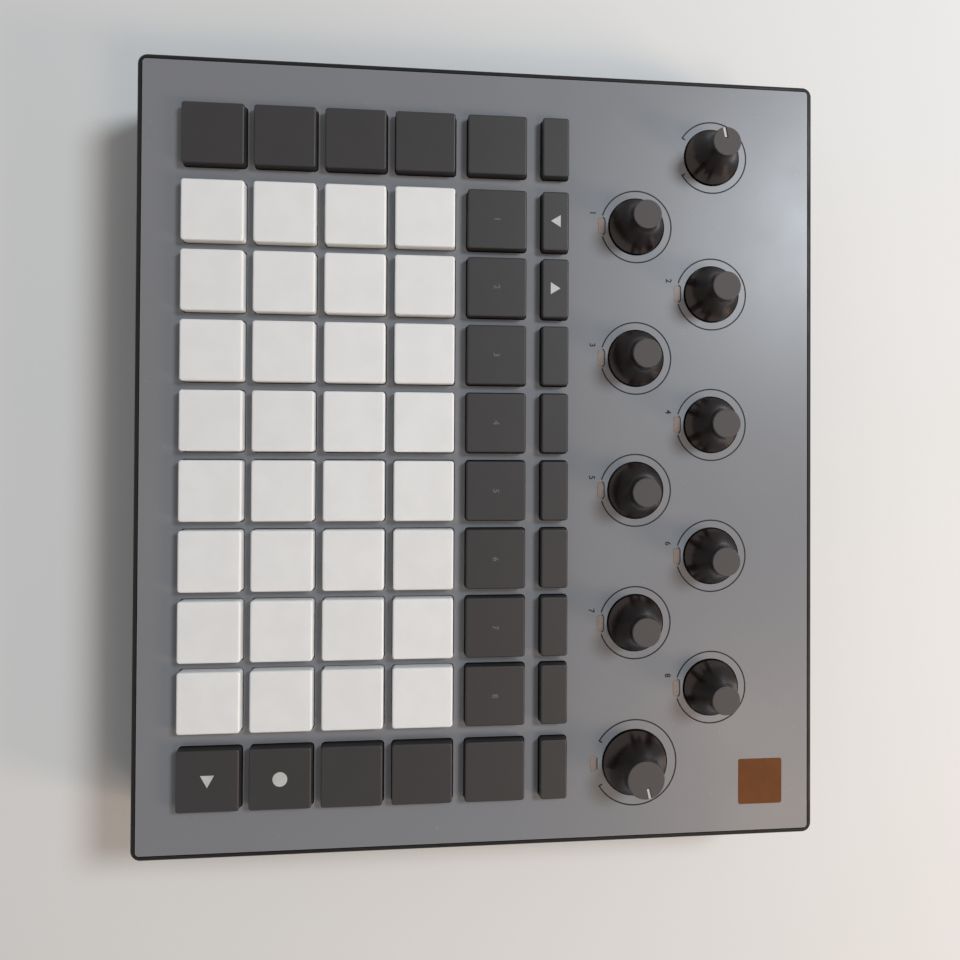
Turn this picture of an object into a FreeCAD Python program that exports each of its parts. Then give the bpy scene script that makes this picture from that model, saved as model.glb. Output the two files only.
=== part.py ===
"""Desktop drum machine: 32 pads, 28 keys, 10 knobs and rear sockets, in one flat case.

Millimetres. +X is the player's right, +Y is the rear, +Z is up. The origin is the middle of
the footprint, on the surface that the rubber feet stand on.
"""
import FreeCAD, Part
import math
import os
import re

import Sketcher
from FreeCAD import Placement, Rotation, Vector

# Every driving size: alias, value in millimetres or degrees, what it is.
SIZES = [
    ("case_length", 240.0, "shells, left to right"),
    ("design_length", 240.0, "shells, for the places given along the rear wall"),
    ("case_width", 210.0, "shells, front to rear"),
    ("case_corner", 3.0, "upright corners of the shells"),
    ("wall", 2.0, "side walls of both shells"),
    ("base_floor", 2.0, "floor of the bottom shell"),
    ("foot_height", 1.8, "gap under the bottom shell"),
    ("bottom_height", 21.0, "bottom shell"),
    ("top_height", 9.6, "top shell"),
    ("base_chamfer", 1.6, "lower edge of the bottom shell"),
    ("inner_corner", 1.0, "inside corners of the shells and the key board"),
    ("seam_chamfer", 0.35, "parting line between the shells"),
    ("rim_round", 0.9, "upper edge of the top shell"),
    ("rim_width", 1.35, "rim of the top shell round the panel"),
    ("panel_gap", 0.25, "slit between rim and panel plate"),
    ("panel_corner", 1.1, "corners of the panel plate"),
    ("panel_thickness", 1.2, "panel plate"),
    ("deck_thickness", 2.0, "top shell's deck under the panel plate"),
    ("row_pitch", 20.9, "pads, front to rear"),
    ("row_inset", 23.0, "front of the case to the first row of pads"),
    ("end_column_inset", 24.3, "end columns from the case's sides"),
    ("end_column_step", 22.9, "last pad column to the end column"),
    ("track_row_step", 22.0, "last pad row to the square keys"),
    ("function_row_step", 18.1, "square keys to the narrow keys"),
    ("knob_row_step", 26.2, "narrow keys to the front knobs"),
    ("knob_stagger", 24.5, "front knobs to the rear knobs"),
    ("pad_side_gap", 2.6, "between two pads, left to right"),
    ("pad_row_gap", 2.7, "between two pads, front to rear"),
    ("narrow_depth", 8.3, "narrow keys, front to rear"),
    ("key_corner", 0.9, "upright corners of pads and keys"),
    ("key_edge", 0.55, "round on the top edge of pads and keys"),
    ("key_rise", 3.2, "pads and keys above the panel"),
    ("key_roof", 1.8, "thickness of a pad's top"),
    ("key_side_wall", 1.8, "thickness of a pad's sides"),
    ("key_gap", 0.35, "gap round a key in its opening"),
    ("flange_reach", 0.8, "a key's flange beyond its sides"),
    ("flange_thickness", 1.2, "a key's flange"),
    ("flange_gap", 0.3, "flange to the deck above it"),
    ("key_travel", 1.6, "how far a pad or key goes down"),
    ("press_gap", 0.3, "pressed key to its contact"),
    ("plunger_radius", 1.6, "post under a key's top"),
    ("board_drop", 4.6, "deck down to the key board"),
    ("board_thickness", 1.6, "both circuit boards"),
    ("board_edge_gap", 5.0, "key board to the shell's walls"),
    ("contact_side", 6.0, "contact pads on the key board"),
    ("encoder_side", 12.0, "encoder bodies"),
    ("encoder_deck_gap", 0.2, "encoder body to the deck"),
    ("bushing_radius", 4.0, "encoder bushings"),
    ("bushing_gap", 0.2, "bushing to its hole in the deck"),
    ("shaft_radius", 3.0, "knob shafts"),
    ("shaft_clearance", 0.05, "shaft to its bushing"),
    ("shaft_end_gap", 0.6, "shaft tip to the key board"),
    ("encoder_floor", 0.3, "bottom of an encoder body under its shaft"),
    ("knob_height", 12.6, "knobs above the panel"),
    ("knob_float", 0.3, "knob's underside to the deck"),
    ("knob_hole_gap", 0.5, "knob to its hole in the panel plate"),
    ("knob_lip", 1.4, "upright lip round a knob's foot"),
    ("knob_cap_height", 2.2, "upright cap of a knob above its flare"),
    ("knob_cap_round", 0.4, "round on the cap's edge"),
    ("knob_radius", 8.6, "foot of the encoder and volume knobs"),
    ("knob_cap_radius", 4.4, "cap of the encoder and volume knobs"),
    ("filter_radius", 10.0, "foot of the filter knob"),
    ("filter_cap_radius", 5.7, "cap of the filter knob"),
    ("mark_width", 1.1, "groove in the marked knobs"),
    ("mark_length", 3.4, "groove in the marked knobs"),
    ("mark_depth", 0.6, "groove in the marked knobs"),
    ("volume_turn", 102.0, "degrees, volume mark to the left of the rear"),
    ("filter_turn", 77.0, "degrees, filter mark to the right of the rear"),
    ("ring_radius", 11.3, "printed ring round an encoder knob"),
    ("filter_ring_radius", 13.3, "printed ring round the filter knob"),
    ("light_length", 4.9, "light windows"),
    ("light_width", 1.7, "light windows"),
    ("light_corner", 0.75, "light windows"),
    ("light_gap", 0.08, "light window to its hole"),
    ("light_board_gap", 0.4, "light window to the light below it"),
    ("lamp_height", 0.6, "lights on the key board"),
    ("lamp_side", 1.6, "lights on the key board"),
    ("foot_radius", 7.0, "rubber feet"),
    ("foot_recess", 0.8, "feet let into the bottom shell"),
    ("foot_recess_gap", 0.2, "round the feet in their recesses"),
    ("foot_inset", 18.0, "feet from the case's sides"),
    ("post_radius", 3.5, "posts that the case screws pass through"),
    ("post_inset", 8.0, "case screws from the case's sides"),
    ("post_board_gap", 0.6, "round the posts in the key board"),
    ("screw_radius", 1.5, "case screws"),
    ("screw_head_radius", 2.7, "case screws"),
    ("screw_head_height", 2.0, "case screws"),
    ("screw_sink", 9.0, "case screw heads above the case's underside"),
    ("screw_bite", 4.0, "case screws in the top shell's posts"),
    ("screw_tip_gap", 0.5, "screw tips to the ends of their pilot holes"),
    ("screw_gap", 0.05, "screw threads to their pilot holes"),
    ("screw_free_gap", 0.25, "screws to the holes that they pass through"),
    ("stud_radius", 2.4, "posts that carry the circuit boards"),
    ("board_screw_radius", 1.0, "circuit board screws"),
    ("board_screw_head_radius", 2.0, "circuit board screws"),
    ("board_screw_head_height", 1.3, "circuit board screws"),
    ("board_screw_bite", 3.2, "circuit board screws in their posts"),
    ("front_stud_inset", 9.6, "front board posts from the case's front"),
    ("front_stud_step", 45.0, "front board posts from the middle"),
    ("rear_stud_inset", 13.0, "rear board posts from the case's rear"),
    ("middle_stud_offset", 10.4, "middle board posts behind the narrow keys"),
    ("main_board_side_gap", 15.0, "main board to the side walls"),
    ("main_board_depth", 66.0, "main board, front to rear"),
    ("main_board_lift", 3.2, "main board above the floor"),
    ("main_board_rear_gap", 1.0, "main board to the rear wall"),
    ("main_stud_side_inset", 6.0, "main board's posts from its ends"),
    ("main_stud_front_inset", 6.0, "main board's posts from its front edge"),
    ("main_stud_step", 30.0, "main board's posts, front to rear"),
    ("foot_edge", 0.7, "round under the rubber feet"),
    ("chip_side", 14.0, "processor on the main board"),
    ("chip_place", 30.0, "processor, left of the middle"),
    ("chip_height", 1.6, "processor on the main board"),
    ("link_length", 40.0, "connector between the boards"),
    ("link_place", 55.0, "connector between the boards, right of the middle"),
    ("link_depth", 5.0, "connector between the boards"),
    ("link_gap", 0.3, "connector to the key board"),
    ("link_offset", 25.0, "connector from the main board's front"),
    ("jack_length", 24.0, "large sockets, front to rear"),
    ("jack_width", 15.6, "large sockets"),
    ("jack_height", 12.5, "large sockets"),
    ("jack_bore", 3.2, "bore radius of the large sockets"),
    ("jack_depth", 22.0, "bore depth of the large sockets"),
    ("jack_collar", 4.6, "collar radius of the large sockets"),
    ("jack_hole_gap", 0.15, "collars to the holes in the rear wall"),
    ("small_jack_length", 14.0, "small sockets, front to rear"),
    ("small_jack_width", 8.4, "small sockets"),
    ("small_jack_height", 7.6, "small sockets"),
    ("small_jack_bore", 1.8, "bore radius of the small sockets"),
    ("small_jack_depth", 12.5, "bore depth of the small sockets"),
    ("small_jack_collar", 3.0, "collar radius of the small sockets"),
    ("headphone_across", -94.0, "headphone socket, from the middle"),
    ("output_across", -74.0, "first output socket"),
    ("jack_spacing", 19.0, "between two large sockets of a pair"),
    ("input_across", -31.0, "first input socket"),
    ("sync_across", 7.0, "first of the four small sockets in a row"),
    ("small_jack_spacing", 14.0, "between two small sockets"),
    ("card_across", 66.0, "card socket"),
    ("card_width", 14.0, "card socket"),
    ("card_depth", 15.0, "card socket"),
    ("card_height", 2.2, "card socket"),
    ("card_slot_width", 11.4, "slot of the card socket"),
    ("card_slot_height", 1.0, "slot of the card socket"),
    ("usb_across", 82.0, "power and data socket"),
    ("usb_width", 9.0, "power and data socket"),
    ("usb_depth", 9.0, "power and data socket"),
    ("usb_height", 3.4, "power and data socket"),
    ("usb_shell", 0.35, "shell of the power and data socket"),
    ("usb_tongue", 0.7, "tongue of the power and data socket"),
    ("usb_tongue_inset", 1.4, "tongue to the sides of the power and data socket"),
    ("port_gap", 0.4, "card and data sockets to the rear wall's slots"),
    ("button_across", 97.0, "power button"),
    ("button_radius", 3.0, "power button"),
    ("button_gap", 0.3, "power button to its hole"),
    ("button_flange", 1.0, "power button's flange, thickness and reach"),
    ("button_travel", 1.0, "power button"),
    ("button_length", 9.0, "power button, front to rear"),
    ("button_end_gap", 0.3, "pressed power button to its switch"),
    ("switch_side", 7.0, "power switch on the main board"),
    ("battery_length", 104.0, "battery pack"),
    ("battery_depth", 62.0, "battery pack"),
    ("battery_height", 9.6, "battery pack"),
    ("battery_corner", 3.0, "battery pack"),
    ("battery_place", -38.0, "battery pack's middle, front of the middle"),
    ("rib_height", 3.0, "ribs that hold the battery pack"),
    ("rib_thickness", 1.4, "ribs that hold the battery pack"),
    ("rib_gap", 0.2, "ribs to the battery pack"),
    ("overcut", 1.0, "how far a cutting solid passes the face that it opens"),
    ("weld", 0.5, "how far a post runs into the wall that carries it"),
]

# Heights and places that follow from the driving sizes.
DERIVED = {
    "seam": "foot_height + bottom_height",
    "panel_top": "seam + top_height",
    "deck_top": "panel_top - panel_thickness",
    "deck_under": "deck_top - deck_thickness",
    "case_floor": "foot_height + base_floor",
    "board_top": "deck_under - board_drop",
    "board_under": "board_top - board_thickness",
    "key_base": "deck_under - flange_gap - flange_thickness",
    "contact_height": "board_drop - flange_gap - flange_thickness - key_travel - press_gap",
    "key_height": "flange_thickness + flange_gap + deck_thickness + panel_thickness + key_rise",
    "knob_base": "deck_top + knob_float",
    "shaft_tip": "board_top + shaft_end_gap",
    "knob_stem": "deck_thickness + board_drop + knob_float - shaft_end_gap",
    "knob_top": "knob_stem + panel_thickness - knob_float + knob_height",
    "encoder_height": "board_drop - encoder_deck_gap",
    "inner_length": "case_length - 2 * wall",
    "inner_width": "case_width - 2 * wall",
    "panel_length": "case_length - 2 * (rim_width + panel_gap)",
    "panel_width": "case_width - 2 * (rim_width + panel_gap)",
    "first_row": "row_inset - case_width / 2",
    "track_row": "first_row + 3 * row_pitch + track_row_step",
    "function_row": "track_row + function_row_step",
    "knob_row": "function_row + knob_row_step",
    "end_column": "case_length / 2 - end_column_inset",
    "column_pitch": "(end_column - end_column_step) / 3.5",
    "pad_length": "column_pitch - pad_side_gap",
    "pad_depth": "row_pitch - pad_row_gap",
    "rear_wall": "case_width / 2 - wall",
    "post_across": "case_length / 2 - post_inset",
    "post_along": "case_width / 2 - post_inset",
    "stretch": "case_length / design_length",
    "headphone_place": "headphone_across * stretch",
    "output_place": "output_across * stretch",
    "input_place": "input_across * stretch",
    "jack_step": "jack_spacing * stretch",
    "sync_place": "sync_across * stretch",
    "small_jack_step": "small_jack_spacing * stretch",
    "card_place": "card_across * stretch",
    "usb_place": "usb_across * stretch",
    "button_place": "button_across * stretch",
    "main_board_length": "inner_length - 2 * main_board_side_gap",
    "main_board_under": "case_floor + main_board_lift",
    "main_board_top": "main_board_under + board_thickness",
    "main_board_middle": "rear_wall - main_board_rear_gap - main_board_depth / 2",
    "main_stud_front": "main_board_middle - main_board_depth / 2 + main_stud_front_inset",
    "main_stud_across": "main_board_length / 2 - main_stud_side_inset",
    "button_level": "main_board_top + button_radius + button_flange + button_gap",
    "switch_face": "case_width / 2 - button_length - button_travel - button_end_gap",
    "screw_seat": "foot_height + screw_sink",
}

PAD_ROWS = 4
PAD_COLUMNS = 8
WORD = re.compile(r"[a-z][a-z_]*")

doc = FreeCAD.newDocument("drum_machine")
sheet = doc.addObject("Spreadsheet::Sheet", "Sizes")
for row, (alias, number, note) in enumerate(SIZES, start=1):
    sheet.set(f"A{row}", note)
    sheet.set(f"B{row}", str(number))
    sheet.setAlias(f"B{row}", alias)
doc.recompute()

ALIASES = {alias for alias, number, note in SIZES}
SUB_PARTS = {}


def formula(text):
    """Write out a text of size names as an expression that reads the sheet's cells."""
    def expand(match):
        name = match.group()
        if name in ALIASES:
            return f"Sizes.{name}"
        return f"({formula(DERIVED[name])})"
    return WORD.sub(expand, str(text))


def size(alias):
    """Give a driving size as a number."""
    return float(sheet.get(alias))


def bind(item, **sizes):
    """Bind properties of an object to formulas."""
    for name, text in sizes.items():
        item.setExpression(name, formula(text))
    return item


def place(item, x="0", y="0", z="0"):
    """Bind an object's position to formulas."""
    for axis, text in zip("xyz", (x, y, z)):
        item.setExpression(f"Placement.Base.{axis}", formula(text))
    return item


def sub_part(label, item):
    """Keep an object as the sub-part with this label."""
    item.Label = label
    SUB_PARTS[label] = item
    return item


def box(name, length, width, height, x="0", y="0", z="0"):
    """Make a box centred on x and y, with its underside at z."""
    item = bind(doc.addObject("Part::Box", name), Length=length, Width=width, Height=height)
    return place(item, f"({x}) - ({length}) / 2", f"({y}) - ({width}) / 2", z)


def cylinder(name, radius, height, x="0", y="0", z="0"):
    """Make an upright cylinder with its underside at z."""
    item = bind(doc.addObject("Part::Cylinder", name), Radius=radius, Height=height)
    return place(item, x, y, z)


def rear_cylinder(name, radius, length, x, y, z):
    """Make a cylinder that runs from y towards the rear."""
    item = bind(doc.addObject("Part::Cylinder", name), Radius=radius, Height=length)
    item.Placement = Placement(Vector(), Rotation(Vector(1, 0, 0), -90))
    return place(item, x, y, z)


def copy_at(name, form, x="0", y="0", z="0", turn=None):
    """Place a copy of a form, turned about the upright axis by a formula in degrees."""
    item = doc.addObject("Part::Compound", name)
    item.Links = [form]
    if turn is not None:
        item.Placement = Placement(Vector(), Rotation(Vector(0, 0, 1), 1))
        item.setExpression("Placement.Rotation.Angle", formula(turn))
    return place(item, x, y, z)


def group(name, members):
    """Hold several solids together without joining them."""
    item = doc.addObject("Part::Compound", name)
    item.Links = members
    return item


def join(name, members):
    """Fuse solids into one."""
    item = doc.addObject("Part::MultiFuse", name)
    item.Shapes = members
    return item


def cut(name, base, tools):
    """Cut a list of solids out of a base."""
    item = doc.addObject("Part::Cut", name)
    item.Base = base
    item.Tool = group(f"{name}_tools", tools)
    return item


def soften(kind, name, base, end, amount):
    """Round or chamfer the edges at the lower (ZMin) or upper (ZMax) end of a base."""
    doc.recompute()
    item = doc.addObject(kind, name)
    item.Base = base
    height = getattr(base.Shape.BoundBox, end)
    item.Edges = [(number, amount, amount) for number in level_edges(base.Shape, height)]
    return item


def level_edges(shape, height):
    """List the numbers of a shape's edges that lie at a height."""
    def lies_level(edge):
        return max(abs(edge.BoundBox.ZMin - height), abs(edge.BoundBox.ZMax - height)) < 1e-4
    return [number for number, edge in enumerate(shape.Edges, start=1) if lies_level(edge)]


def drawn(sketch, kind, places):
    """Measure a distance or radius as it is drawn, before any formula holds it."""
    if kind == "Radius":
        return sketch.Geometry[places[0]].Radius
    span = sketch.getPoint(*places[2:]) - sketch.getPoint(*places[:2])
    return span.x if kind == "DistanceX" else span.y


def datum(sketch, name, kind, places, text):
    """Add a named distance or radius to a sketch and bind it to a formula."""
    value = drawn(sketch, kind, places)
    index = sketch.addConstraint(Sketcher.Constraint(kind, *places, value))
    sketch.renameConstraint(index, name)
    sketch.setExpression(f"Constraints.{name}", formula(text))


def hold(sketch, kind, *places):
    """Add a constraint without a size to a sketch."""
    sketch.addConstraint(Sketcher.Constraint(kind, *places))


def rounded_rectangle(sketch, length, width, corner):
    """Draw a rectangle with round corners about a sketch's origin, held by constraints."""
    far, near = 9.0, 8.0
    ends = [((-near, -far), (near, -far)), ((far, -near), (far, near)),
            ((near, far), (-near, far)), ((-far, near), (-far, -near))]
    centres = [(near, -near), (near, near), (-near, near), (-near, -near)]
    lines = [sketch.addGeometry(Part.LineSegment(Vector(*a, 0), Vector(*b, 0))) for a, b in ends]
    arcs = []
    for quarter, centre in enumerate(centres):
        start = (quarter - 1) * math.pi / 2
        circle = Part.Circle(Vector(*centre, 0), Vector(0, 0, 1), far - near)
        arcs.append(sketch.addGeometry(Part.ArcOfCircle(circle, start, start + math.pi / 2)))
    for line, arc, following in zip(lines, arcs, lines[1:] + lines[:1]):
        hold(sketch, "Tangent", line, 2, arc, 1)
        hold(sketch, "Tangent", arc, 2, following, 1)
    for line, direction in zip(lines, ["Horizontal", "Vertical"] * 2):
        hold(sketch, direction, line)
    for arc in arcs[1:]:
        hold(sketch, "Equal", arcs[0], arc)
    hold(sketch, "Symmetric", arcs[0], 3, arcs[2], 3, -1, 1)
    datum(sketch, "corner", "Radius", [arcs[0]], corner)
    datum(sketch, "length", "DistanceX", [lines[3], 1, lines[1], 1], length)
    datum(sketch, "width", "DistanceY", [lines[0], 1, lines[2], 1], width)


def slab(name, length, width, height, corner, x="0", y="0", z="0"):
    """Make an upright prism with round corners, centred on x and y, underside at z."""
    sketch = doc.addObject("Sketcher::SketchObject", f"{name}_outline")
    rounded_rectangle(sketch, length, width, corner)
    item = doc.addObject("Part::Extrusion", name)
    item.Base = sketch
    item.DirMode = "Custom"
    item.Dir = Vector(0, 0, 1)
    item.Solid = True
    bind(item, LengthFwd=height)
    return place(item, x, y, z)


def origin_plane(body, role):
    """Find one of a body's own origin planes."""
    return next(item for item in body.Origin.OriginFeatures if item.Role == role)


def body_sketch(body, name, role="XY_Plane", along="0", up="0"):
    """Add a sketch on one of a body's origin planes, moved along its own y and its normal."""
    sketch = body.newObject("Sketcher::SketchObject", name)
    sketch.AttachmentSupport = [(origin_plane(body, role), "")]
    sketch.MapMode = "FlatFace"
    sketch.setExpression("AttachmentOffset.Base.y", formula(along))
    sketch.setExpression("AttachmentOffset.Base.z", formula(up))
    return sketch


def pad_up(body, name, sketch, height):
    """Raise a sketch into a solid."""
    return bind(add_feature(body, "PartDesign::Pad", name, sketch), Length=height)


def pocket_up(body, name, sketch, depth):
    """Cut a sketch upwards out of a body from its underside."""
    feature = add_feature(body, "PartDesign::Pocket", name, sketch)
    feature.Reversed = True
    return bind(feature, Length=depth)


def add_feature(body, kind, name, sketch):
    """Add a feature that takes its outline from a sketch."""
    feature = body.newObject(kind, name)
    feature.Profile = sketch
    sketch.Visibility = False
    return feature


def key_form(name, length, width):
    """Model a key: flange, hollow cap with rounded top edges, and the post in its middle."""
    body = doc.addObject("PartDesign::Body", name)
    flange = body_sketch(body, f"{name}_flange_outline")
    rounded_rectangle(flange, f"{length} + 2 * flange_reach", f"{width} + 2 * flange_reach",
                      "key_corner + flange_reach")
    pad_up(body, f"{name}_flange", flange, "flange_thickness")
    cap = body_sketch(body, f"{name}_cap_outline")
    rounded_rectangle(cap, length, width, "key_corner")
    raised = pad_up(body, f"{name}_cap", cap, "key_height")
    hollow = body_sketch(body, f"{name}_hollow_outline")
    rounded_rectangle(hollow, f"{length} - 2 * key_side_wall", f"{width} - 2 * key_side_wall",
                      "key_corner")
    post = hollow.addGeometry(Part.Circle(Vector(), Vector(0, 0, 1), 1.0))
    hold(hollow, "Coincident", post, 3, -1, 1)
    datum(hollow, "post", "Radius", [post], "plunger_radius")
    hollowed = pocket_up(body, f"{name}_hollow", hollow, "key_height - key_roof")
    doc.recompute()
    if hollowed.Shape.Volume > 0.8 * raised.Shape.Volume:
        raise RuntimeError(f"{name} was not hollowed")
    top = level_edges(hollowed.Shape, hollowed.Shape.BoundBox.ZMax)
    rounded = body.newObject("PartDesign::Fillet", f"{name}_edge")
    rounded.Base = (hollowed, [f"Edge{number}" for number in top])
    bind(rounded, Radius="key_edge")
    return body


def pin(sketch, name, point, x, z):
    """Pin a sketch point to formulas for x and z; an empty text leaves it on that axis."""
    for letter, kind, axis, text in (("x", "DistanceX", -2, x), ("z", "DistanceY", -1, z)):
        if text:
            datum(sketch, f"{name}_{letter}", kind, [-1, 1, *point], text)
        else:
            hold(sketch, "PointOnObject", *point, axis)


def arc_from(sketch, start, end, centre):
    """Draw an arc, anticlockwise from start to end about a centre."""
    spoke = Vector(*start, 0) - Vector(*centre, 0)
    circle = Part.Circle(Vector(*centre, 0), Vector(0, 0, 1), spoke.Length)
    first = math.atan2(start[1] - centre[1], start[0] - centre[0])
    last = math.atan2(end[1] - centre[1], end[0] - centre[0])
    if last < first:
        last += 2 * math.pi
    return sketch.addGeometry(Part.ArcOfCircle(circle, first, last))


def knob_profile(sketch, foot, cap):
    """Draw half of a knob with its shaft: shaft, foot, concave flare, cap and rounded edge."""
    shaft_r, foot_r, cap_r, bend = (size(a) for a in ("shaft_radius", foot, cap, "knob_cap_round"))
    stem = size("deck_thickness") + size("board_drop") + size("knob_float") - size("shaft_end_gap")
    lip = stem + size("knob_lip")
    top = stem + size("panel_thickness") - size("knob_float") + size("knob_height")
    neck = top - size("knob_cap_height")
    reach = foot_r - cap_r
    flare = (reach ** 2 + (neck - lip) ** 2) / (2 * reach)

    def line(start, end):
        return sketch.addGeometry(Part.LineSegment(Vector(*start, 0), Vector(*end, 0)))

    tip = line((0, 0), (shaft_r, 0))
    shaft = line((shaft_r, 0), (shaft_r, stem))
    underside = line((shaft_r, stem), (foot_r, stem))
    upright = line((foot_r, stem), (foot_r, lip))
    bell = arc_from(sketch, (cap_r, neck), (foot_r, lip), (cap_r + flare, neck))
    side = line((cap_r, neck), (cap_r, top - bend))
    edge = arc_from(sketch, (cap_r, top - bend), (cap_r - bend, top), (cap_r - bend, top - bend))
    crown = line((cap_r - bend, top), (0, top))
    axis = line((0, top), (0, 0))

    for first, second in ((tip, shaft), (shaft, underside), (underside, upright),
                          (crown, axis), (axis, tip), (edge, crown)):
        hold(sketch, "Coincident", first, 2, second, 1)
    hold(sketch, "Coincident", upright, 2, bell, 2)
    hold(sketch, "Tangent", bell, 1, side, 1)
    hold(sketch, "Tangent", side, 2, edge, 1)
    pin(sketch, "centre", (tip, 1), "", "")
    pin(sketch, "tip", (shaft, 1), "shaft_radius", "")
    pin(sketch, "stem", (underside, 1), "shaft_radius", "knob_stem")
    pin(sketch, "foot", (upright, 1), foot, "knob_stem")
    pin(sketch, "lip", (upright, 2), foot, "knob_stem + knob_lip")
    pin(sketch, "neck", (side, 1), cap, "knob_top - knob_cap_height")
    pin(sketch, "cap", (side, 2), cap, "knob_top - knob_cap_round")
    pin(sketch, "crown", (crown, 1), f"{cap} - knob_cap_round", "knob_top")
    pin(sketch, "top", (axis, 1), "", "knob_top")


def knob_form(name, foot, cap, marked):
    """Model a knob with its shaft: a turned bell, with a groove to the rear if it is marked."""
    body = doc.addObject("PartDesign::Body", name)
    profile = body_sketch(body, f"{name}_profile", "XZ_Plane")
    knob_profile(profile, foot, cap)
    turned = add_feature(body, "PartDesign::Revolution", f"{name}_bell", profile)
    turned.ReferenceAxis = (profile, ["V_Axis"])
    turned.Angle = 360
    if marked:
        groove = body_sketch(body, f"{name}_groove_outline",
                             along=f"{cap} - mark_length / 2 + overcut / 2", up="knob_top")
        rounded_rectangle(groove, "mark_width", "mark_length + overcut", "mark_width / 4")
        doc.recompute()
        bind(add_feature(body, "PartDesign::Pocket", f"{name}_groove", groove), Length="mark_depth")
        doc.recompute()
        if body.Shape.Volume > turned.Shape.Volume - 0.1:
            raise RuntimeError(f"{name} has no groove")
    return body


def column_x(column):
    """Give the place of a column, 0 to 9 from the left, as a formula."""
    if column == 0:
        return "-(end_column)"
    if column == 9:
        return "end_column"
    return f"{column - 4.5} * column_pitch"


def row_y(row):
    """Give the place of a row of pads, 0 to 3 from the front, as a formula."""
    return f"first_row + {row} * row_pitch"


def knob_places():
    """List each knob's label, column and place from front to rear."""
    places = [("volume_knob", 0, "knob_row + knob_stagger")]
    for number in range(1, 9):
        rear = " + knob_stagger" if number % 2 == 0 else ""
        places.append((f"encoder_knob_{number}", number, f"knob_row{rear}"))
    places.append(("filter_knob", 9, "knob_row"))
    return places


def square_key_places():
    """List the columns and rows of every square key that isn't a pad."""
    places = [(column, row_y(row)) for column in (0, 9) for row in range(PAD_ROWS)]
    return places + [(column, "track_row") for column in range(10)]


def light_places():
    """List the light windows: in front of each knob, on its printed ring."""
    places = []
    for label, column, y in knob_places():
        if label == "filter_knob":
            places.append((column_x(column), f"{y} - filter_ring_radius"))
        elif label != "volume_knob":
            places.append((column_x(column), f"{y} - ring_radius"))
    return places


def corners_of(across, along):
    """List the four points at plus and minus two formulas."""
    return [(f"{a}({across})", f"{b}({along})") for a in ("-", "") for b in ("-", "")]


def post_places():
    """List the case screws: four corners and the middle of each side."""
    return corners_of("post_across", "post_along") + [("-(post_across)", "0"), ("post_across", "0")]


def board_stud_places():
    """List the posts that carry the key board."""
    front = "front_stud_inset - case_width / 2"
    rear = "case_width / 2 - rear_stud_inset"
    steps = (-2, -1, 1, 2)
    places = [(f"{step} * front_stud_step", y) for y in (front, rear) for step in steps]
    middle = "function_row + middle_stud_offset"
    return places + [(f"{3 * step} * column_pitch", middle) for step in (-1, 0, 1)]


def main_stud_places():
    """List the posts that carry the main board."""
    rows = ("main_stud_front", "main_stud_front + main_stud_step")
    return [(f"{side} * (main_stud_across)", y) for side in (-1, 0, 1) for y in rows]


def large_jack_places():
    """List the large sockets' places along the rear wall."""
    return [f"{first} + {step} * jack_step" for first in ("output_place", "input_place") for step in (0, 1)]


def small_jack_places():
    """List the small sockets' places along the rear wall."""
    return ["headphone_place"] + [f"sync_place + {step} * small_jack_step" for step in range(4)]


def key_openings():
    """Cut solids for all the keys, through the panel plate and the deck."""
    depth = "panel_thickness + deck_thickness + 2 * overcut"
    square = slab("square_opening", "pad_length + 2 * key_gap", "pad_depth + 2 * key_gap", depth,
                  "key_corner + key_gap")
    narrow = slab("narrow_opening", "pad_length + 2 * key_gap", "narrow_depth + 2 * key_gap", depth,
                  "key_corner + key_gap")
    level = "deck_under - overcut"
    pads = [(column, row_y(row)) for row in range(PAD_ROWS) for column in range(1, PAD_COLUMNS + 1)]
    tools = [copy_at(f"square_opening_{n}", square, column_x(column), y, level)
             for n, (column, y) in enumerate(pads + square_key_places())]
    tools += [copy_at(f"narrow_opening_{column}", narrow, column_x(column), "function_row", level)
              for column in range(10)]
    return group("key_openings", tools)


def light_openings():
    """Cut solids for the light windows, through the panel plate and the deck."""
    form = slab("light_opening", "light_length + 2 * light_gap", "light_width + 2 * light_gap",
                "panel_thickness + deck_thickness + 2 * overcut", "light_corner + light_gap")
    return group("light_openings", [copy_at(f"light_opening_{n}", form, x, y, "deck_under - overcut")
                                    for n, (x, y) in enumerate(light_places())])


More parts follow.
